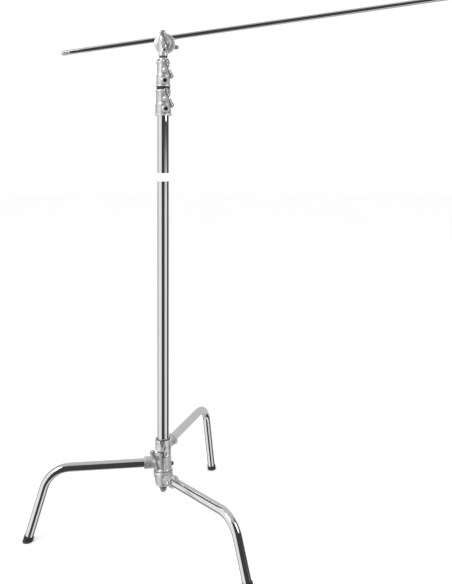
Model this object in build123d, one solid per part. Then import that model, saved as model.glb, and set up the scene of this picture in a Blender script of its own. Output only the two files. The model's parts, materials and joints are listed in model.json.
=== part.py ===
from build123d import *
import os
from math import atan, cos, degrees, hypot, radians, sin

# Sliding-leg grip stand ("C stand") with a two-stage riser, a disc grip head and an
# extension arm. Millimetres, +Z up, origin on the floor under the column's axis.
# Azimuths are degrees about +Z from +X, where +X is the side of the arm's long end.

# ---- driving dimensions -------------------------------------------------------------
SLIDE_GAP = 0.05          # radial clearance of a running fit
BODY_GAP = 0.3            # least air between two bodies that don't run on each other

LEG_R = 12.7              # leg tube, 1 in
LEG_WALL = 2.0
LEG_SLOPE = 0.031         # rise of the leg's run outwards
KNEE_R = 324.6            # where the run and the down stroke would meet
FOOT_R = 385.6            # where the leg's axis meets the floor
KNEE_BEND = 72.0
HUB_PITCH = 43.0          # height from one leg's hub to the next
BOTTOM_LEG_Z = 149.7
MIDDLE_LEG_Z = BOTTOM_LEG_Z + HUB_PITCH
TOP_LEG_Z = MIDDLE_LEG_Z + HUB_PITCH
BOTTOM_LEG_AZ = -48.5
TOP_LEG_AZ = 71.5
MIDDLE_LEG_AZ = 191.5
SOLE_R = 14.0
FOOT_LENGTH = 17.0
SOLE_RUBBER = 7.5         # rubber under the tube's end, along the leg

NECK_R = 18.0             # sleeve that the two swinging hubs turn on
HUB_R = 24.0
SPIGOT_R = 14.3           # lower end of the column, 1 1/8 in
SOCKET_R = 17.0
SOCKET_END = 56.0
SOCKET_FLOOR = 22.0       # the leg's inner end, from the column's axis
LEG_BOLT_AT = 46.0
LEG_BOLT_R = 4.0
NUT_SINK = 2.0            # how far a leg bolt's nut is let into the socket

CAST_Z0 = 171.5           # middle hub's underside
CAST_Z1 = 214.0
NECK_Z0 = 140.0
NECK_Z1 = 266.0
BORE_FLOOR = 150.0
TIE_R = 5.0

COLUMN_R = 17.5
COLUMN_BORE_R = 16.25
COLUMN_Z0 = NECK_Z1 + 0.4
COLUMN_Z1 = 1258.0
MIDDLE_R = 15.0
MIDDLE_BORE_R = 13.5
MIDDLE_Z0 = 312.0
MIDDLE_Z1 = 1347.0
TOP_R = 12.5
TOP_BORE_R = 11.0
TOP_Z0 = 330.0
TOP_Z1 = 1392.5
LABEL_Z0 = 1028.0
LABEL_Z1 = 1052.0

LOWER_COLLAR_Z0 = 1223.0
LOWER_COLLAR_Z1 = 1300.0
UPPER_COLLAR_Z0 = 1309.3
UPPER_COLLAR_Z1 = 1392.0

SCREW_R = 4.0             # T-handle screws
HANDLE_LEAN = 20.0        # a crossbar's lean from upright
HANDLE_HALF = 30.0        # half the length of a crossbar
BAR_WIDENING = 1.45       # how much wider than deep a lock's crossbar is
BASE_LOCK = (-107.0, 221.0)
LOWER_LOCK = (-63.0, 1272.0)
UPPER_LOCK = (-64.5, 1357.0)
HEAD_LOCK = (-75.0, 1441.0)

STUD_R = 7.94             # 5/8 in
STUD_Z0 = 1394.0
STUD_Z1 = 1452.0
HEAD_Z0 = 1400.0
AXIS_Z = 1443.0           # the grip head's bolt, along +Y
ARM_TILT = 8.2            # the arm's long end stands this much above level
FLANGE_Y = 26.0
FRICTION_Y = 28.0
JAW_R = 31.5
JAW_Y0 = 28.3
JAW_Y1 = 38.2
JAW_GAP = 1.0
ROD_Y = JAW_Y1 + JAW_GAP / 2
OUTER_Y0 = JAW_Y1 + JAW_GAP
OUTER_Y1 = 49.5
CHANNEL_Z = 17.0          # rod channels above and below the bolt
SMALL_ROD_R = 6.35        # 1/2 in channel
CLAMP_BOLT_R = 5.0
CLAMP_BOLT_END = 70.0

ARM_R = 7.94
ARM_BORE_R = 6.0
ARM_LEFT = -316.0
ARM_RIGHT = 903.0
PLUG_OUT = 29.0           # what each end plug shows outside the tube


# ---- small helpers ------------------------------------------------------------------
def ring(r_out, r_in, z0, z1):
    return Pos(0, 0, z0) * extrude(Circle(r_out) - Circle(r_in), z1 - z0)


def rod(r, z0, z1):
    return Pos(0, 0, z0) * extrude(Circle(r), z1 - z0)


def turned(points):
    """Solid of revolution about Z from (radius, height) points."""
    outline = make_face(Polyline(*points, close=True))
    return revolve(Plane.XZ * outline, Axis.Z)


def hex_prism(across_flats, z0, z1):
    outline = RegularPolygon(across_flats / 2, 6, major_radius=False)
    return Pos(0, 0, z0) * extrude(outline, z1 - z0)


def radial(place, lean=0.0):
    """Plane at an (azimuth, height), its z axis pointing out from the column."""
    azimuth, height = place
    a = radians(azimuth)
    t = radians(lean)
    out = (cos(a), sin(a), 0)
    up = (sin(t) * sin(a), -sin(t) * cos(a), cos(t))
    return Plane(origin=(0, 0, height), x_dir=up, z_dir=out).location


def along_y(shape):
    """Turn a shape built along +Z so that it lies along +Y."""
    return Rot(-90, 0, 0) * shape


def at_head(shape):
    """Place a shape drawn level about the head's bolt at the arm's tilt."""
    return Pos(0, 0, AXIS_Z) * Rot(0, -ARM_TILT, 0) * shape


def sector(azimuth0, azimuth1, r, z0, z1):
    """Wedge of a cylinder between two azimuths, less than a full turn apart."""
    wedge = extrude(make_face([
        Line((0, 0), (r * cos(radians(azimuth0)), r * sin(radians(azimuth0)))),
        CenterArc((0, 0), r, azimuth0, azimuth1 - azimuth0),
        Line((r * cos(radians(azimuth1)), r * sin(radians(azimuth1))), (0, 0)),
    ]), z1 - z0)
    return Pos(0, 0, z0) * wedge


def save(name, shape):
    export_step(shape, f"parts/{name}.step")


# ---- legs ---------------------------------------------------------------------------
def run_axis(hub_z, start):
    """Location on a leg's run, at a distance from the column, z axis outwards."""
    return Plane(
        origin=(start, 0, hub_z + LEG_SLOPE * start),
        x_dir=(0, 1, 0),
        z_dir=(1, 0, LEG_SLOPE),
    ).location


def down_stroke(hub_z):
    """Unit direction of the leg's down stroke, in the leg's own plane."""
    dx = FOOT_R - KNEE_R
    dz = -(hub_z + LEG_SLOPE * KNEE_R)
    size = hypot(dx, dz)
    return dx / size, dz / size


def leg_tube(hub_z, azimuth):
    dx, dz = down_stroke(hub_z)
    start = SOCKET_FLOOR + BODY_GAP
    path = FilletPolyline(
        (start, 0, hub_z + LEG_SLOPE * start),
        (KNEE_R, 0, hub_z + LEG_SLOPE * KNEE_R),
        (FOOT_R - SOLE_RUBBER * dx, 0, -SOLE_RUBBER * dz),
        radius=KNEE_BEND,
    )
    section = Plane(origin=path @ 0, z_dir=path % 0) * (Circle(LEG_R) - Circle(LEG_R - LEG_WALL))
    tube = sweep(section, path=path)
    return Rot(0, 0, azimuth) * (tube - leg_bolt_hole(hub_z))


def foot(hub_z, azimuth):
    dx, dz = down_stroke(hub_z)
    axis = Plane(origin=(FOOT_R, 0, 0), x_dir=(0, 1, 0), z_dir=(-dx, 0, -dz)).location
    cap = axis * rod(SOLE_R, -SOLE_R, FOOT_LENGTH)
    cap -= axis * rod(LEG_R, SOLE_RUBBER, FOOT_LENGTH + 1)
    floor = Pos(FOOT_R, 0, -SOLE_R * 2) * Box(SOLE_R * 4, SOLE_R * 4, SOLE_R * 4)
    return Rot(0, 0, azimuth) * (cap - floor)


def leg_bolt_place(hub_z):
    """Across the leg's socket; the bolt's head is on the clockwise side."""
    return Plane(
        origin=(LEG_BOLT_AT, 0, hub_z + LEG_SLOPE * LEG_BOLT_AT),
        x_dir=(1, 0, LEG_SLOPE),
        z_dir=(0, -1, 0),
    ).location


def leg_bolt_hole(hub_z):
    return leg_bolt_place(hub_z) * rod(LEG_BOLT_R + SLIDE_GAP, -SOCKET_R * 2, SOCKET_R * 2)


def leg_bolt(hub_z, azimuth):
    shank = rod(LEG_BOLT_R, -SOCKET_R - 3, SOCKET_R)
    head = hex_prism(13, SOCKET_R + 0.5, SOCKET_R + 6)
    washer = ring(8, LEG_BOLT_R, SOCKET_R - 0.8, SOCKET_R + 0.5)
    nut = hex_prism(13, -SOCKET_R - 2.5, -SOCKET_R + NUT_SINK)
    bolt = shank + rod(LEG_BOLT_R, SOCKET_R, SOCKET_R + 1) + head + washer + nut
    return Rot(0, 0, azimuth) * leg_bolt_place(hub_z) * bolt


def socket_body(hub_z):
    """Outside of a leg's socket, before its bore is cut."""
    sleeve = run_axis(hub_z, 0) * rod(SOCKET_R, 0, SOCKET_END)
    lip = run_axis(hub_z, 0) * rod(SOCKET_R + 1.2, SOCKET_END - 6, SOCKET_END - 1)
    flats = leg_bolt_place(hub_z) * rod(9.5, -SOCKET_R + NUT_SINK, SOCKET_R - 0.8)
    return sleeve + lip + flats


def socket_cuts(hub_z):
    bore = run_axis(hub_z, 0) * rod(LEG_R + SLIDE_GAP, SOCKET_FLOOR, SOCKET_END * 2)
    head_seat = leg_bolt_place(hub_z) * rod(8.6, SOCKET_R - 0.8, SOCKET_R * 2)
    nut_seat = leg_bolt_place(hub_z) * rod(8.6, -SOCKET_R * 2, -SOCKET_R + NUT_SINK)
    return bore + leg_bolt_hole(hub_z) + head_seat + nut_seat


# ---- T-handles, screws, pads --------------------------------------------------------
def crossbar(half):
    """Cast crossbar along X: thin in the middle, fat near its rounded ends."""
    outline = make_face([
        Polyline((0, 0), (0, 5.0)),
        Spline((0, 5.0), (half * 0.45, 4.6), (half * 0.8, 6.2), (half, 0),
               tangents=((1, 0), (0, -1))),
        Line((half, 0), (0, 0)),
    ])
    side = revolve(outline, Axis.X)
    return side + mirror(side, Plane.YZ)


def t_handle(place, start, reach, half=HANDLE_HALF, lean=HANDLE_LEAN):
    """Handle whose stem starts at one radius and whose crossbar sits at another."""
    stem = turned([(0, start), (7.5, start), (7.5, start + 3), (6.0, start + 5),
                   (6.6, reach - 5), (7.6, reach), (6.0, reach + 5), (0, reach + 6)])
    handle = stem + Pos(0, 0, reach) * scale(crossbar(half), by=(1, BAR_WIDENING, 1))
    handle -= rod(SCREW_R + 0.02, start - 1, reach - 2)
    return radial(place, lean) * handle


def t_screw(place, start, reach):
    """Threaded rod of a T-handle, from its tip to its seat in the handle."""
    return radial(place) * turned([(0, start), (3.2, start), (SCREW_R, start + 1),
                                   (SCREW_R, reach - 2.1), (0, reach - 2.1)])


def lock_pad(place, r_tube):
    """Brass pad between a screw's tip and the tube it holds."""
    return radial(place) * rod(SCREW_R - 0.1, r_tube + BODY_GAP, r_tube + 2.0)


def lock_boss(place, r_boss, start, end):
    return radial(place) * turned([(0, start), (r_boss, start), (r_boss, end - 1.5),
                                   (r_boss - 1.5, end), (0, end)])


def lock_hole(place):
    return radial(place) * rod(SCREW_R + SLIDE_GAP, 0, HUB_R * 3)


def socket_screw(place, start, end, r_shank, r_head, head_depth):
    """Hex-socket screw pointing at the column, its head outside."""
    body = rod(r_shank, start, end) + rod(r_head, end - head_depth, end)
    body -= hex_prism(r_head * 1.1, end - head_depth * 0.7, end + 1)
    return radial(place) * body


# ---- base ---------------------------------------------------------------------------
BASE_SIDE_SCREW = (0.0, 188.0)
WINDOW = (109.0, 284.0)   # azimuths left free in the top hub for the lock's boss


def base_casting():
    body = ring(HUB_R, SPIGOT_R, CAST_Z0, CAST_Z1) + ring(NECK_R, SPIGOT_R, BORE_FLOOR, NECK_Z1)
    body += rod(NECK_R, NECK_Z0, BORE_FLOOR)
    body += turned([(NECK_R, CAST_Z0), (HUB_R + 1.5, CAST_Z0), (HUB_R + 1.5, CAST_Z0 + 5),
                    (HUB_R, CAST_Z0 + 7), (NECK_R, CAST_Z0 + 7)])
    body += Rot(0, 0, MIDDLE_LEG_AZ) * socket_body(MIDDLE_LEG_Z)
    body += lock_boss(BASE_LOCK, 8.5, 12, 37)
    rib_low = CAST_Z0 + 24
    rib = Pos(24, 0, (rib_low + BASE_LOCK[1]) / 2) * Box(18, 13, BASE_LOCK[1] - rib_low)
    body += Rot(0, 0, BASE_LOCK[0]) * rib
    body += lock_boss(BASE_SIDE_SCREW, 7.5, 16, 26)
    for azimuth in (-72, -40):
        body += Rot(0, 0, azimuth) * Pos(HUB_R - 0.4, 0, 0) * rod(2.4, CAST_Z0 + 1, CAST_Z1 - 1)
    body -= Rot(0, 0, MIDDLE_LEG_AZ) * socket_cuts(MIDDLE_LEG_Z)
    body -= rod(SPIGOT_R + SLIDE_GAP, BORE_FLOOR, NECK_Z1 + 1)
    body -= rod(TIE_R + 0.02, NECK_Z0 - 1, BORE_FLOOR + 1)
    body -= lock_hole(BASE_LOCK)
    body -= radial(BASE_SIDE_SCREW) * rod(3.02, 17, 40)
    body -= ring(NECK_R + 1, 17.0, 261.9, 264.0)
    return body


def retaining_ring():
    """Snap ring above the top hub, open over a few degrees."""
    circlip = ring(20.5, 17.02, 261.95, 263.95)
    return circlip - sector(-8, 8, 30, 261, 265)


def hub_washers():
    """Thrust washers under the top hub and over the bottom hub."""
    lower = ring(23, NECK_R + SLIDE_GAP, 170.0, CAST_Z0)
    upper = ring(23, NECK_R + SLIDE_GAP, CAST_Z1, CAST_Z1 + 1.2)
    upper -= sector(BASE_LOCK[0] - 45, BASE_LOCK[0] + 45, 30, CAST_Z1 - 1, CAST_Z1 + 3)
    return Compound([lower, upper])


def base_side_screw():
    return socket_screw(BASE_SIDE_SCREW, 17.3, 30.5, 3.0, 5.5, 4.5)


def tie_bolt():
    """Holds the bottom hub up against the casting through its springs."""
    return rod(TIE_R, 106, BORE_FLOOR) + hex_prism(16, BORE_FLOOR, BORE_FLOOR + 6)


def tie_nut():
    dome = turned([(0, 102.6), (4, 103.2), (7, 105.2), (8.6, 108.2), (8.6, 109), (0, 109)])
    nut = dome + hex_prism(17, 108, 116.5) + ring(10.5, TIE_R, 116.5, 118)
    return nut - rod(TIE_R + 0.02, 105.9, 119)


def base_springs():
    """Four disc springs, stacked in pairs."""
    discs = []
    for i in range(4):
        z = 118.0 + i * 1.9
        low, high = (0.0, 0.7) if i % 2 else (0.7, 0.0)
        discs.append(turned([(5.3, z + low), (12, z + high), (12, z + high + 1.15),
                             (5.3, z + low + 1.15)]))
    return Compound(discs)


def top_leg_hub():
    z0 = CAST_Z1 + 1.5
    z1 = 261.5
    step = 232.0
    body = ring(HUB_R, NECK_R, z0, z1)
    body += turned([(NECK_R, z1 - 5), (HUB_R, z1 - 6.5), (HUB_R + 0.8, z1 - 5), (HUB_R + 0.8, z1 - 1),
                    (HUB_R, z1), (NECK_R, z1)])
    body += Rot(0, 0, TOP_LEG_AZ) * socket_body(TOP_LEG_Z)
    body -= sector(WINDOW[0], WINDOW[1], HUB_R * 1.2, z0 - 1, step)
    body -= Rot(0, 0, TOP_LEG_AZ) * socket_cuts(TOP_LEG_Z)
    body -= rod(NECK_R + SLIDE_GAP, z0 - 1, z1 + 1)
    notch = extrude(Plane.XZ * make_face(Polyline((-8, z1 + 1), (8, z1 + 1), (1.5, z1 - 17),
                                                 (-1.5, z1 - 17), close=True)), HUB_R * 2)
    body -= notch
    for place in ((-70, 241), (-34, 241), (-60, 224), (-28, 224)):
        slot = Rot(0, 0, -25) * extrude(SlotOverall(10.5, 3.6), 4)
        body -= radial(place) * Pos(0, 0, HUB_R - 2.2) * slot
    return body


def bottom_leg_hub():
    z1 = 169.7
    body = turned([(0, 126), (19.5, 126), (22.5, 129), (27, 152), (29, 158), (29, z1 - 1.5),
                   (27.5, z1), (0, z1)])
    body += Rot(0, 0, BOTTOM_LEG_AZ) * socket_body(BOTTOM_LEG_Z)
    body += lock_boss(BOTTOM_GRUB, 6.5, 20, 29.5)
    body -= Pos(0, 0, z1 + 10) * Box(140, 140, 20)
    body -= Rot(0, 0, BOTTOM_LEG_AZ) * socket_cuts(BOTTOM_LEG_Z)
    body -= rod(NECK_R + SLIDE_GAP, 137, z1 + 1)
    body -= rod(TIE_R + BODY_GAP, 120, 140)
    body -= radial(BOTTOM_GRUB) * rod(3.02, NECK_R, 40)
    return body


BOTTOM_GRUB = (-131.0, 160.0)


def bottom_hub_screw():
    return socket_screw(BOTTOM_GRUB, NECK_R + 0.4, 29.3, 3.0, 3.0, 3.0)


# ---- column, risers and their collars -----------------------------------------------
def column_spigot():
    """Solid lower end of the column, which drops into the base."""
    plug_top = COLUMN_Z0 + 38
    return turned([(0, 160), (SPIGOT_R - 2, 160), (SPIGOT_R, 162), (SPIGOT_R, COLUMN_Z0),
                   (COLUMN_BORE_R - 0.01, COLUMN_Z0), (COLUMN_BORE_R - 0.01, plug_top),
                   (0, plug_top)])


def collar(profile, bore, lock, bolt, boss_r, boss_end):
    body = turned(profile)
    body += lock_boss(lock, 9.5, 12, lock_boss_end(profile))
    body += lock_boss(bolt, boss_r, 12, boss_end)
    body -= rod(bore, profile[0][1] - 1, profile[-1][1] + 1)
    body -= lock_hole(lock)
    body -= radial(bolt) * (rod(3.52, 10, 60) + rod(6.1, boss_end - 5, 60))
    return body


def lock_boss_end(profile):
    return max(r for r, _ in profile) + 5.0


LOWER_BOLT = (-66.0, 1242.0)
UPPER_BOLT = (-71.0, 1326.0)
UPPER_GRUB = (-125.0, 1386.5)
LOWER_PROFILE = [(0, LOWER_COLLAR_Z0), (25, LOWER_COLLAR_Z0), (26, LOWER_COLLAR_Z0 + 1),
                 (26, 1227.5), (23.5, 1229.5), (23.5, 1256), (21.5, 1262), (21.5, 1291),
                 (23, 1294), (23, 1299), (22, LOWER_COLLAR_Z1), (0, LOWER_COLLAR_Z1)]
UPPER_PROFILE = [(0, UPPER_COLLAR_Z0), (22, UPPER_COLLAR_Z0), (23, UPPER_COLLAR_Z0 + 1),
                 (23, 1313.5), (20.5, 1315.5), (20.5, 1341), (18.6, 1347), (18.6, 1376),
                 (21, 1379), (21, 1383), (18, 1386), (17.5, 1391), (16.5, UPPER_COLLAR_Z1),
                 (0, UPPER_COLLAR_Z1)]


def lower_collar():
    return collar(LOWER_PROFILE, COLUMN_R + 0.02, LOWER_LOCK, LOWER_BOLT, 11.5, 29.0)


def upper_collar():
    body = collar(UPPER_PROFILE, MIDDLE_R + 0.02, UPPER_LOCK, UPPER_BOLT, 11.0, 26.5)
    body += lock_boss(UPPER_GRUB, 4.6, 15.4, 18.6)
    body -= rod(MIDDLE_R + 0.02, 1380, 1393)
    return body - radial(UPPER_GRUB) * rod(2.52, 14, 40)


def pinch_bolt(place, r_tube, boss_end):
    return socket_screw(place, r_tube + 0.05, boss_end - 0.8, 3.5, 6.0, 4.2)


def bush(r_out, r_in, z0, z1):
    return turned([(r_in + SLIDE_GAP, z0), (r_out, z0), (r_out, z1), (r_in + 1.1, z1),
                   (r_in + SLIDE_GAP, z1 - 1)])


def guide(r_tube, r_bore, z_end):
    """Nylon guide round the lower end of a riser, running in the tube outside it."""
    run = r_bore - 0.06
    return turned([(r_tube - 1.2, z_end - 6), (run - 0.5, z_end - 6), (run, z_end - 5),
                   (run, z_end + 20), (r_tube + 0.02, z_end + 20), (r_tube + 0.02, z_end),
                   (r_tube - 1.2, z_end)])


def buffer_ring():
    return turned([(MIDDLE_R + BODY_GAP, 1300), (19.2, 1300), (19.8, 1301), (19.8, 1308),
                   (19.2, 1309), (MIDDLE_R + BODY_GAP, 1309)])


def stud():
    return turned([(0, 1350), (10, 1350), (TOP_BORE_R - 0.01, 1351), (TOP_BORE_R - 0.01, TOP_Z1),
                   (12.4, TOP_Z1), (12.4, STUD_Z0), (STUD_R, STUD_Z0), (STUD_R, 1433),
                   (6.4, 1435), (6.4, 1446), (STUD_R, 1448), (STUD_R, 1450.5),
                   (STUD_R - 1.5, STUD_Z1), (0, STUD_Z1)]) - stud_pin_hole()


def stud_pin_hole():
    return Pos(0, 0, 1368) * along_y(rod(2.02, -20, 20))


def stud_pin():
    return Pos(0, 0, 1368) * along_y(rod(2.0, -TOP_R + 0.3, TOP_R - 0.3))


# ---- grip head ----------------------------------------------------------------------
HEAD_SCREW = (-71.0, 1417.0)


def receiver():
    body = turned([(0, HEAD_Z0), (13.2, HEAD_Z0), (14, HEAD_Z0 + 1), (14, 1452), (12.5, 1458),
                   (8, 1462), (0, 1463)])
    axis = Pos(0, 0, AXIS_Z)
    body += axis * along_y(turned([(0, 0), (15, 0), (19, 8), (22, 19), (30, 21), (30, FLANGE_Y - 1),
                                   (29, FLANGE_Y), (0, FLANGE_Y)]))
    body += Pos(0, 16, 1416) * Box(8, 16, 28)
    body += lock_boss(HEAD_LOCK, 9.5, 6, 24)
    body += lock_boss(HEAD_SCREW, 6.8, 8, 17.0)
    body -= rod(STUD_R + SLIDE_GAP, HEAD_Z0 - 1, 1453.5)
    body -= lock_hole(HEAD_LOCK)
    body -= radial(HEAD_SCREW) * rod(SCREW_R + 0.02, 6, 40)
    body -= axis * along_y(rod(CLAMP_BOLT_R, 11, 40))
    return body


def clamp_bolt():
    bolt = turned([(0, 11), (CLAMP_BOLT_R - 0.02, 11), (CLAMP_BOLT_R - 0.02, CLAMP_BOLT_END - 1),
                   (CLAMP_BOLT_R - 1, CLAMP_BOLT_END), (0, CLAMP_BOLT_END)])
    return Pos(0, 0, AXIS_Z) * along_y(bolt)


def friction_disc():
    return Pos(0, 0, AXIS_Z) * along_y(ring(29, CLAMP_BOLT_R + 0.1, FLANGE_Y, FRICTION_Y))


def channel(r, height):
    """Rod channel along X, centred between the two jaws."""
    return Pos(-JAW_R * 2, ROD_Y, height) * Rot(0, 90, 0) * extrude(Circle(r), JAW_R * 4)


def jaw_channels():
    return channel(ARM_R + SLIDE_GAP, CHANNEL_Z) + channel(SMALL_ROD_R, -CHANNEL_Z)


def inner_jaw():
    disc = turned([(CLAMP_BOLT_R + SLIDE_GAP, JAW_Y0), (JAW_R - 1, JAW_Y0), (JAW_R, JAW_Y0 + 1),
                   (JAW_R, JAW_Y1 - 0.8), (JAW_R - 0.8, JAW_Y1), (9.6, JAW_Y1), (9.6, JAW_Y1 - 4),
                   (CLAMP_BOLT_R + SLIDE_GAP, JAW_Y1 - 4)])
    return at_head(along_y(disc) - jaw_channels())


def outer_jaw():
    disc = turned([(CLAMP_BOLT_R + 0.1, OUTER_Y0 + 4), (9.6, OUTER_Y0 + 4), (9.6, OUTER_Y0),
                   (JAW_R - 1.8, OUTER_Y0), (JAW_R - 1, OUTER_Y0 + 0.8), (JAW_R - 1, OUTER_Y0 + 5),
                   (JAW_R - 3, OUTER_Y1 - 1), (24, OUTER_Y1), (15, OUTER_Y1 + 1),
                   (13, OUTER_Y1 + 3.5), (CLAMP_BOLT_R + 0.1, OUTER_Y1 + 3.5)])
    return at_head(along_y(disc) - jaw_channels())


def jaw_spring():
    """Disc springs that push the jaws apart when the handle is slackened."""
    discs = []
    start = JAW_Y1 - 3.9
    for i in range(4):
        y = start + i * 2.2
        low, high = (0.0, 0.8) if i % 2 else (0.8, 0.0)
        discs.append(at_head(along_y(turned([(5.4, y + low), (9, y + high), (9, y + high + 1.2),
                                             (5.4, y + low + 1.2)]))))
    return Compound(discs)


def thrust_washer():
    y = OUTER_Y1 + 3.5
    return at_head(along_y(ring(12, CLAMP_BOLT_R + 0.1, y, y + 2)))


CLAMP_HALF = 39.0
CLAMP_LEAN = 16.0         # the main crossbar's right end hangs this much under the arm's line


def clamp_handle():
    y0 = OUTER_Y1 + 5.8
    bar_y = 70.0
    hub = turned([(0, y0), (11.5, y0), (11.5, y0 + 4), (9, y0 + 7), (9, bar_y - 3), (10, bar_y),
                  (7.5, bar_y + 6), (0, bar_y + 7.5)])
    bar = scale(crossbar(CLAMP_HALF), by=(1, 1.12, 1.12))
    handle = along_y(hub) + Pos(0, bar_y, 0) * Rot(0, CLAMP_LEAN, 0) * bar
    handle -= along_y(rod(CLAMP_BOLT_R + SLIDE_GAP, y0 - 1, CLAMP_BOLT_END + 1.5))
    return at_head(handle)


# ---- arm ----------------------------------------------------------------------------
def on_arm(shape):
    """Place a shape built along +Z, from the head's middle, on the arm's axis."""
    return at_head(Pos(0, ROD_Y, CHANNEL_Z) * Rot(0, 90, 0) * shape)


def arm_tube():
    return on_arm(ring(ARM_R, ARM_BORE_R, ARM_LEFT + PLUG_OUT, ARM_RIGHT - PLUG_OUT))


def arm_plug(end):
    """End plug: a shank in the tube, a grooved shoulder, a land and a tapered nose."""
    shank = end - PLUG_OUT - 30
    plug = turned([(0, shank), (ARM_BORE_R - 0.02, shank), (ARM_BORE_R - 0.02, end - PLUG_OUT),
                   (ARM_R, end - PLUG_OUT), (ARM_R, end - 27), (6.9, end - 26.4),
                   (6.9, end - 24.6), (ARM_R, end - 24), (ARM_R, end - 7),
                   (5.6, end - 1), (4.6, end), (0, end)])
    return plug


def arm_end_plugs():
    left = on_arm(Rot(0, 180, 0) * arm_plug(-ARM_LEFT))
    return Compound([left, on_arm(arm_plug(ARM_RIGHT))])


# ---- everything ---------------------------------------------------------------------
def build_base():
    save("base_casting", base_casting())
    save("base_retaining_ring", retaining_ring())
    save("hub_thrust_washers", hub_washers())
    save("base_side_screw", base_side_screw())
    save("tie_bolt", tie_bolt())
    save("tie_nut", tie_nut())
    save("base_disc_springs", base_springs())
    save("top_leg_hub", top_leg_hub())
    save("bottom_leg_hub", bottom_leg_hub())
    save("bottom_hub_screw", bottom_hub_screw())
    legs = {"top": (TOP_LEG_Z, TOP_LEG_AZ), "middle": (MIDDLE_LEG_Z, MIDDLE_LEG_AZ),
            "bottom": (BOTTOM_LEG_Z, BOTTOM_LEG_AZ)}
    for name, (hub_z, azimuth) in legs.items():
        save(f"{name}_leg_tube", leg_tube(hub_z, azimuth))
        save(f"{name}_leg_foot", foot(hub_z, azimuth))
        save(f"{name}_leg_bolt", leg_bolt(hub_z, azimuth))


def build_column():
    save("column_tube", ring(COLUMN_R, COLUMN_BORE_R, COLUMN_Z0, COLUMN_Z1))
    save("column_spigot", column_spigot())
    save("blank_label", ring(COLUMN_R + 0.3, COLUMN_R, LABEL_Z0, LABEL_Z1))
    save("lower_collar", lower_collar())
    save("lower_collar_bush", bush(COLUMN_R, MIDDLE_R, 1284, 1299.7))
    save("lower_pinch_bolt", pinch_bolt(LOWER_BOLT, COLUMN_R, 29.0))
    save("buffer_ring", buffer_ring())
    save("middle_riser_tube", ring(MIDDLE_R, MIDDLE_BORE_R, MIDDLE_Z0, MIDDLE_Z1))
    save("middle_riser_guide", guide(MIDDLE_R, COLUMN_BORE_R, MIDDLE_Z0))
    save("upper_collar", upper_collar())
    save("upper_collar_bush", bush(MIDDLE_R, TOP_R, 1376, 1391.7))
    save("upper_pinch_bolt", pinch_bolt(UPPER_BOLT, MIDDLE_R, 26.5))
    save("upper_grub_screw", socket_screw(UPPER_GRUB, 15.1, 18.4, 2.5, 2.5, 2.4))
    save("top_riser_tube", ring(TOP_R, TOP_BORE_R, TOP_Z0, TOP_Z1) - stud_pin_hole())
    save("top_riser_guide", guide(TOP_R, MIDDLE_BORE_R, TOP_Z0))
    save("stud", stud())
    save("stud_ring", ring(12.0, STUD_R + 0.02, STUD_Z0, HEAD_Z0 - BODY_GAP))
    save("stud_pin", stud_pin())


def build_locks():
    locks = {
        "base": (BASE_LOCK, SPIGOT_R, 37.0, 57.0),
        "lower": (LOWER_LOCK, MIDDLE_R, 31.0, 46.5),
        "upper": (UPPER_LOCK, TOP_R, 28.0, 45.5),
        "head": (HEAD_LOCK, 6.4, 24.0, 44.0),
    }
    for name, (place, r_tube, boss_end, reach) in locks.items():
        tip = r_tube + 2.0 + BODY_GAP
        if name == "head":
            tip = r_tube + BODY_GAP
        else:
            save(f"{name}_lock_pad", lock_pad(place, r_tube))
        save(f"{name}_lock_handle", t_handle(place, boss_end + 0.5, reach))
        save(f"{name}_lock_screw", t_screw(place, tip, reach))


def build_head():
    save("receiver", receiver())
    save("receiver_screw", socket_screw(HEAD_SCREW, STUD_R + BODY_GAP, 16.4, 4.0, 4.0, 4.0))
    save("clamp_bolt", clamp_bolt())
    save("friction_disc", friction_disc())
    save("inner_jaw", inner_jaw())
    save("jaw_spring", jaw_spring())
    save("outer_jaw", outer_jaw())
    save("thrust_washer", thrust_washer())
    save("clamp_handle", clamp_handle())
    save("arm_tube", arm_tube())
    save("arm_end_plugs", arm_end_plugs())


os.makedirs("parts", exist_ok=True)
build_base()
build_column()
build_locks()
build_head()
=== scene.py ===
import json
import math

import bpy
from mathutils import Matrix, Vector

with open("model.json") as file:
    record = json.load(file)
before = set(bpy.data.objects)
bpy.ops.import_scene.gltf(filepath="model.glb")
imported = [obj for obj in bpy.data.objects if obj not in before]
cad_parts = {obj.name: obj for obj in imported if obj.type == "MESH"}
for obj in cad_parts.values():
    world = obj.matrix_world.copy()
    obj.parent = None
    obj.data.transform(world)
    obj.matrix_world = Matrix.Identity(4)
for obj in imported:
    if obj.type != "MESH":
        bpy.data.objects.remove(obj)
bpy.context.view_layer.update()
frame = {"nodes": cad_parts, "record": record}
nodes = frame["nodes"]

# ---- shader helpers ------------------------------------------------------------------
NOISE_VALUES = (0.3, 0.7)   # where nearly all of a noise texture's values lie


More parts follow.
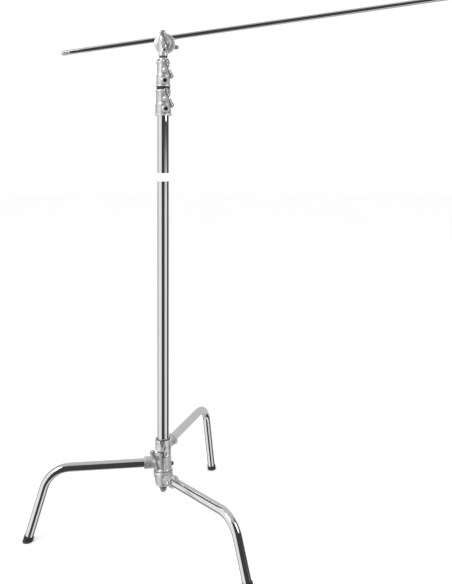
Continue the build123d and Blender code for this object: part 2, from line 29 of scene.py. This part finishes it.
class Shader:
    """A node material with one principled shader, and short calls to add nodes to it."""

    def __init__(self, name):
        self.material = bpy.data.materials.new(name)
        self.material.use_nodes = True
        self.tree = self.material.node_tree
        self.main = self.tree.nodes["Principled BSDF"]
        self.coords = self.tree.nodes.new("ShaderNodeTexCoord").outputs["Object"]

    def link(self, source, target):
        """Feed a socket, a number or a colour into an input."""
        if isinstance(source, (int, float, tuple)):
            target.default_value = source
        else:
            self.tree.links.new(source, target)

    def set(self, **values):
        for key, value in values.items():
            self.main.inputs[key.replace("_", " ")].default_value = value

    def stretched(self, x, y, z):
        node = self.tree.nodes.new("ShaderNodeMapping")
        node.inputs["Scale"].default_value = (x, y, z)
        self.link(self.coords, node.inputs["Vector"])
        return node.outputs["Vector"]

    def noise(self, scale, detail=4.0, roughness=0.55, coords=None):
        node = self.tree.nodes.new("ShaderNodeTexNoise")
        node.inputs["Scale"].default_value = scale
        node.inputs["Detail"].default_value = detail
        node.inputs["Roughness"].default_value = roughness
        self.link(coords or self.coords, node.inputs["Vector"])
        return node.outputs["Fac"]

    def cells(self, scale, coords=None):
        node = self.tree.nodes.new("ShaderNodeTexVoronoi")
        node.inputs["Scale"].default_value = scale
        self.link(coords or self.coords, node.inputs["Vector"])
        return node.outputs["Distance"]

    def remap(self, value, from_low, from_high, to_low, to_high):
        node = self.tree.nodes.new("ShaderNodeMapRange")
        for key, number in (("From Min", from_low), ("From Max", from_high),
                            ("To Min", to_low), ("To Max", to_high)):
            node.inputs[key].default_value = number
        self.link(value, node.inputs["Value"])
        return node.outputs["Result"]

    def spread(self, noise, low=0, high=1):
        """A noise texture's usual values, spread from low to high."""
        return self.remap(noise, *NOISE_VALUES, low, high)

    def mix(self, factor, low, high):
        node = self.tree.nodes.new("ShaderNodeMix")
        node.data_type = "RGBA"
        self.link(factor, node.inputs["Factor"])
        self.link(low, node.inputs["A"])
        self.link(high, node.inputs["B"])
        return node.outputs["Result"]

    def math(self, operation, a, b=0.0):
        node = self.tree.nodes.new("ShaderNodeMath")
        node.operation = operation
        self.link(a, node.inputs[0])
        self.link(b, node.inputs[1])
        return node.outputs["Value"]

    def edges(self):
        """1 on convex edges, 0 in hollows, about 0.5 on flats."""
        return self.tree.nodes.new("ShaderNodeNewGeometry").outputs["Pointiness"]

    def crevices(self, distance):
        """1 in the open and lower in corners and gaps."""
        node = self.tree.nodes.new("ShaderNodeAmbientOcclusion")
        node.inputs["Distance"].default_value = distance
        node.samples = 6
        return node.outputs["AO"]

    def color(self, source):
        self.link(source, self.main.inputs["Base Color"])

    def roughness(self, source):
        self.link(source, self.main.inputs["Roughness"])

    def bump(self, height, distance, strength=1.0, rounding=0.0):
        node = self.tree.nodes.new("ShaderNodeBump")
        node.inputs["Distance"].default_value = distance
        node.inputs["Strength"].default_value = strength
        self.link(height, node.inputs["Height"])
        if rounding:
            bevel = self.tree.nodes.new("ShaderNodeBevel")
            bevel.samples = 4
            bevel.inputs["Radius"].default_value = rounding
            self.tree.links.new(bevel.outputs["Normal"], node.inputs["Normal"])
        self.tree.links.new(node.outputs["Normal"], self.main.inputs["Normal"])


def grey(value, warmth=0.0):
    return (value + warmth, value, value - warmth, 1.0)


# ---- materials -----------------------------------------------------------------------
def chrome():
    """Polished plate: near mirror, with faint handling smears and hairline scratches."""
    s = Shader("chrome_plate")
    s.set(Metallic=1.0)
    smear = s.noise(14, 5, 0.6, s.stretched(1, 1, 0.35))
    hair = s.noise(900, 2, 0.5, s.stretched(1, 1, 0.03))
    s.color(s.mix(s.spread(smear), grey(0.86, -0.004), grey(0.93, -0.003)))
    handled = s.remap(smear, 0.35, 0.8, 0.02, 0.06)
    scratched = s.remap(hair, 0.62, 0.8, 0.0, 0.06)
    s.roughness(s.math("ADD", handled, scratched))
    s.bump(hair, 0.000004, 0.35)
    return s.material


def casting():
    """Tumbled, satin-plated die casting: soft grain, rounded edges, painted shade in corners.
    """
    s = Shader("satin_casting")
    s.set(Metallic=0.7)
    cloud = s.noise(45, 4, 0.6)
    grain = s.noise(1500, 3, 0.6)
    # painted shade: ambient occlusion darkens the colour towards near-black in corners and
    # gaps
    crevice_shade = s.remap(s.crevices(0.006), 0.25, 0.85, 1, 0)
    rub = s.remap(s.edges(), 0.52, 0.58, 0, 1)
    body = s.mix(s.spread(cloud), grey(0.54), grey(0.68))
    body = s.mix(rub, body, grey(0.85))
    s.color(s.mix(s.math("MULTIPLY", crevice_shade, 0.75), body, grey(0.11)))
    # the same occlusion mask also makes the corners rougher
    matt = s.math("ADD", s.spread(cloud, 0.27, 0.38), s.math("MULTIPLY", crevice_shade, 0.25))
    s.roughness(matt)
    s.bump(grain, 0.00008, 0.35, rounding=0.0007)
    return s.material


def cast_handle():
    """Brighter, smoother casting of the T-handles, polished by hands on its crown."""
    s = Shader("bright_handle")
    s.set(Metallic=0.8)
    cloud = s.noise(80, 4, 0.6)
    grain = s.noise(1800, 2, 0.5)
    rub = s.remap(s.edges(), 0.50, 0.56, 0, 1)
    # painted shade: ambient occlusion darkens the colour towards near-black in corners and
    # gaps
    crevice_shade = s.remap(s.crevices(0.005), 0.25, 0.85, 0.7, 0)
    s.color(s.mix(crevice_shade, s.mix(rub, grey(0.36), grey(0.82)), grey(0.10)))
    s.roughness(s.spread(cloud, 0.18, 0.28))
    s.bump(grain, 0.00005, 0.3, rounding=0.0006)
    return s.material


def zinc():
    """Bright zinc plate on turned steel, with faint turning rings."""
    s = Shader("zinc_steel")
    s.set(Metallic=0.75)
    cloud = s.noise(120, 4, 0.6)
    turning = s.noise(2500, 2, 0.5, s.stretched(0.05, 0.05, 1))
    s.color(s.mix(s.spread(cloud), grey(0.60, 0.006), grey(0.74, 0.004)))
    s.roughness(s.spread(turning, 0.2, 0.34))
    s.bump(turning, 0.00002, 0.4)
    return s.material


def black_oxide():
    """Oiled black oxide on screws, bare steel just showing on the edges."""
    s = Shader("black_oxide")
    s.set(Metallic=0.6)
    speck = s.noise(700, 3, 0.6)
    rub = s.remap(s.edges(), 0.56, 0.66, 0, 0.5)
    dark = s.mix(s.spread(speck), grey(0.012), grey(0.03))
    s.color(s.mix(rub, dark, grey(0.3)))
    s.roughness(s.spread(speck, 0.3, 0.45))
    s.bump(speck, 0.00003, 0.4)
    return s.material


def spring_steel():
    """Tempered disc springs, slightly blued."""
    s = Shader("spring_steel")
    s.set(Metallic=1.0)
    tint = s.noise(200, 3, 0.5)
    s.color(s.mix(tint, grey(0.22, -0.01), grey(0.36, -0.01)))
    s.roughness(s.spread(tint, 0.28, 0.4))
    s.bump(tint, 0.00003, 0.3)
    return s.material


def rubber():
    """Moulded foot: matt black with a floor-scuffed, dusty lower edge."""
    s = Shader("foot_rubber")
    s.set(Metallic=0.0)
    grain = s.noise(1600, 4, 0.65)
    patch = s.noise(90, 4, 0.6)
    height = s.tree.nodes.new("ShaderNodeSeparateXYZ")
    s.link(s.coords, height.inputs["Vector"])
    low = s.remap(height.outputs["Z"], 0.0, 0.006, 1, 0)
    dust = s.math("MULTIPLY", low, s.remap(patch, 0.35, 0.65, 0.1, 0.9))
    body = s.mix(s.spread(patch), grey(0.010), grey(0.022))
    s.color(s.mix(dust, body, grey(0.13, 0.01)))
    s.roughness(s.spread(grain, 0.5, 0.72))
    s.bump(grain, 0.00012, 0.5)
    return s.material


def black_plastic():
    """Moulded acetal rings, greyer where edges rub."""
    s = Shader("black_acetal")
    s.set(Metallic=0.0)
    grain = s.noise(1100, 3, 0.6)
    rub = s.remap(s.edges(), 0.55, 0.65, 0, 0.35)
    s.color(s.mix(rub, grey(0.012), grey(0.12)))
    s.roughness(s.spread(grain, 0.33, 0.5))
    s.bump(grain, 0.00005, 0.4)
    return s.material


def nylon():
    """Natural guides and bushes, a little translucent."""
    s = Shader("natural_nylon")
    s.set(Metallic=0.0, Subsurface_Weight=0.08)
    haze = s.noise(160, 4, 0.6)
    s.color(s.mix(haze, (0.72, 0.70, 0.62, 1), (0.84, 0.82, 0.75, 1)))
    s.roughness(s.spread(haze, 0.36, 0.5))
    s.bump(haze, 0.00005, 0.3)
    return s.material


def label_film():
    """Blank white wrap label: paper-like, with a faintly cloudy white tone."""
    s = Shader("blank_label_film")
    s.set(Metallic=0.0)
    fibre = s.noise(1400, 3, 0.5)
    cloud = s.noise(60, 3, 0.5)
    s.color(s.mix(cloud, grey(0.86), grey(0.93)))
    s.roughness(s.spread(fibre, 0.38, 0.55))
    s.bump(fibre, 0.00002, 0.3)
    return s.material


def brass():
    """Lock pads, unevenly tarnished."""
    s = Shader("brass_pad")
    s.set(Metallic=1.0)
    tarnish = s.noise(220, 4, 0.6)
    s.color(s.mix(tarnish, (0.42, 0.30, 0.12, 1), (0.72, 0.55, 0.25, 1)))
    s.roughness(s.spread(tarnish, 0.22, 0.4))
    s.bump(tarnish, 0.00003, 0.3)
    return s.material


def fibre():
    """Friction disc: brown fibre board with dark flecks."""
    s = Shader("friction_fibre")
    s.set(Metallic=0.0)
    flecks = s.cells(1800)
    brown, dark = (0.13, 0.085, 0.06, 1), (0.045, 0.035, 0.03, 1)
    s.color(s.mix(s.remap(flecks, 0.1, 0.6, 0, 1), brown, dark))
    s.roughness(s.remap(flecks, 0.1, 0.6, 0.6, 0.8))
    s.bump(flecks, 0.00006, 0.5)
    return s.material


def dress(materials):
    """Give each CAD node the material of its record slot."""
    slots = {p["node"]: p["material_slot"] for p in frame["record"]["subparts"]}
    for name, obj in nodes.items():
        obj.data.materials.clear()
        obj.data.materials.append(materials[slots[name]])


# ---- stage, light and camera ---------------------------------------------------------
FLOOR_SIZE = 40


def pale_floor():
    """Pale paper, left out of reflections, where the panels stand in for it."""
    bpy.ops.mesh.primitive_plane_add(size=FLOOR_SIZE)
    floor = bpy.context.object
    floor.name = "studio_floor"
    s = Shader("studio_paper")
    haze = s.noise(0.8, 2, 0.5)
    s.color(s.mix(haze, grey(0.955), grey(0.97)))
    s.roughness(s.spread(haze, 0.75, 0.85))
    floor.data.materials.append(s.material)
    floor.visible_glossy = False


# The studio that shows in the chrome: azimuth of a panel's middle (0 at the camera, 90 at +X),
# half its width, its lowest and highest elevation, all in degrees, and its brightness.
PANELS = (
    (-65, 40, -90, 60, 0.8),    # tall softbox on the left
    (60, 25, -90, 0, 0.7),      # low white reflector on the right
    (180, 55, -90, 90, 0.5),    # white sweep behind the stand
)
DARK_ROOM = 0.05
CEILING = 0.5
CEILING_FROM = 55
PANEL_SOFTNESS = 8          # degrees over which a panel's edge fades
SURROUND = 1.07             # the white that all but reflections see


def value_node(tree, operation, a, b):
    """Maths on two values, each a number or a socket."""
    node = tree.nodes.new("ShaderNodeMath")
    node.operation = operation
    for socket, value in zip(node.inputs, (a, b)):
        if isinstance(value, (int, float)):
            socket.default_value = value
        else:
            tree.links.new(value, socket)
    return node.outputs["Value"]


def rising(tree, value, low, high):
    """0 up to low, 1 from high, smooth between."""
    node = tree.nodes.new("ShaderNodeMapRange")
    node.interpolation_type = "SMOOTHSTEP"
    node.inputs["From Min"].default_value = low
    node.inputs["From Max"].default_value = high
    tree.links.new(value, node.inputs["Value"])
    return node.outputs["Result"]


def soft_edge(angle):
    """Where the fading of an edge starts and ends, in radians."""
    return [math.radians(angle + side * PANEL_SOFTNESS / 2) for side in (-1, 1)]


def above(tree, rise, elevation):
    """1 over an elevation in degrees; the poles have no edge."""
    if elevation <= -90:
        return 1.0
    if elevation >= 90:
        return 0.0
    low, high = [math.sin(angle) for angle in soft_edge(elevation)]
    return rising(tree, rise, low, high)


def panel_mask(tree, heading, rise, azimuth, half_width, bottom, top):
    """1 in the directions that a panel fills, fading to 0 at its edges."""
    turn = math.radians(azimuth)
    facing = tree.nodes.new("ShaderNodeVectorMath")
    facing.operation = "DOT_PRODUCT"
    tree.links.new(heading, facing.inputs[0])
    facing.inputs[1].default_value = (math.sin(turn), -math.cos(turn), 0)
    inner, outer = [math.cos(angle) for angle in soft_edge(half_width)]
    across = rising(tree, facing.outputs["Value"], outer, inner)
    upright = value_node(tree, "SUBTRACT", above(tree, rise, bottom), above(tree, rise, top))
    return value_node(tree, "MULTIPLY", across, upright)


def studio_world():
    """White surround; reflections see a dim room with a few panels and a ceiling."""
    world = bpy.data.worlds.new("studio")
    bpy.context.scene.world = world
    world.use_nodes = True
    tree = world.node_tree
    new = tree.nodes.new
    link = tree.links.new
    direction = new("ShaderNodeTexCoord").outputs["Generated"]
    split = new("ShaderNodeSeparateXYZ")
    link(direction, split.inputs["Vector"])
    rise = split.outputs["Z"]
    flat = new("ShaderNodeVectorMath")
    flat.operation = "MULTIPLY"
    link(direction, flat.inputs[0])
    flat.inputs[1].default_value = (1, 1, 0)
    level = new("ShaderNodeVectorMath")
    level.operation = "NORMALIZE"
    link(flat.outputs["Vector"], level.inputs[0])
    heading = level.outputs["Vector"]
    light = DARK_ROOM
    for azimuth, half_width, bottom, top, brightness in PANELS:
        mask = panel_mask(tree, heading, rise, azimuth, half_width, bottom, top)
        light = value_node(tree, "ADD", light, value_node(tree, "MULTIPLY", mask, brightness))
    overhead = value_node(tree, "MULTIPLY", above(tree, rise, CEILING_FROM), CEILING)
    light = value_node(tree, "MAXIMUM", light, overhead)
    seen = new("ShaderNodeBackground")
    link(light, seen.inputs["Color"])
    white = tree.nodes["Background"]
    white.inputs["Color"].default_value = (1, 1, 1, 1)
    white.inputs["Strength"].default_value = SURROUND
    choose = new("ShaderNodeMixShader")
    link(new("ShaderNodeLightPath").outputs["Is Glossy Ray"], choose.inputs["Fac"])
    link(white.outputs["Background"], choose.inputs[1])
    link(seen.outputs["Background"], choose.inputs[2])
    link(choose.outputs["Shader"], tree.nodes["World Output"].inputs["Surface"])


LAMPS_AIM = Vector((0, 0, 0.7))
LAMPS = (                   # name, place, width and height, power in watts
    ("key", (-2.2, -2.0, 3.0), (1.6, 1.6), 45),
    ("fill", (2.6, -1.2, 2.2), (1.2, 1.8), 20),
)


def softbox(name, place, size, power):
    data = bpy.data.lights.new(name, "AREA")
    data.shape = "RECTANGLE"
    data.size, data.size_y = size
    data.energy = power
    lamp = bpy.data.objects.new(name, data)
    lamp.location = place
    aim = LAMPS_AIM - Vector(place)
    lamp.rotation_euler = aim.to_track_quat("-Z", "Y").to_euler()
    lamp.visible_camera = False
    bpy.context.collection.objects.link(lamp)


CAMERA_PLACE = (0.2631, -1.9644, 1.0910)
CAMERA_LENS = 40.65         # mm, on a sensor of SENSOR_WIDTH
SENSOR_WIDTH = 36.0
CAMERA_SHIFT = (-0.0438, -0.226)


def photo_camera():
    """A level camera; the shift, not a tilt, sets the stand in the frame."""
    data = bpy.data.cameras.new("camera")
    data.sensor_width = SENSOR_WIDTH
    data.lens = CAMERA_LENS
    data.shift_x, data.shift_y = CAMERA_SHIFT
    camera = bpy.data.objects.new("camera", data)
    camera.location = CAMERA_PLACE
    camera.rotation_euler = (math.pi / 2, 0, 0)
    bpy.context.collection.objects.link(camera)
    bpy.context.scene.camera = camera
    bpy.context.scene.view_settings.view_transform = "Standard"


# ---- build ---------------------------------------------------------------------------
dress({
    "satin_casting": casting(),
    "chrome_tube": chrome(),
    "satin_handle": cast_handle(),
    "zinc_steel": zinc(),
    "black_screw": black_oxide(),
    "spring_steel": spring_steel(),
    "brass_pad": brass(),
    "black_rubber": rubber(),
    "black_plastic": black_plastic(),
    "nylon": nylon(),
    "white_label": label_film(),
    "friction_fibre": fibre(),
})
pale_floor()
studio_world()
for lamp in LAMPS:
    softbox(*lamp)
photo_camera()
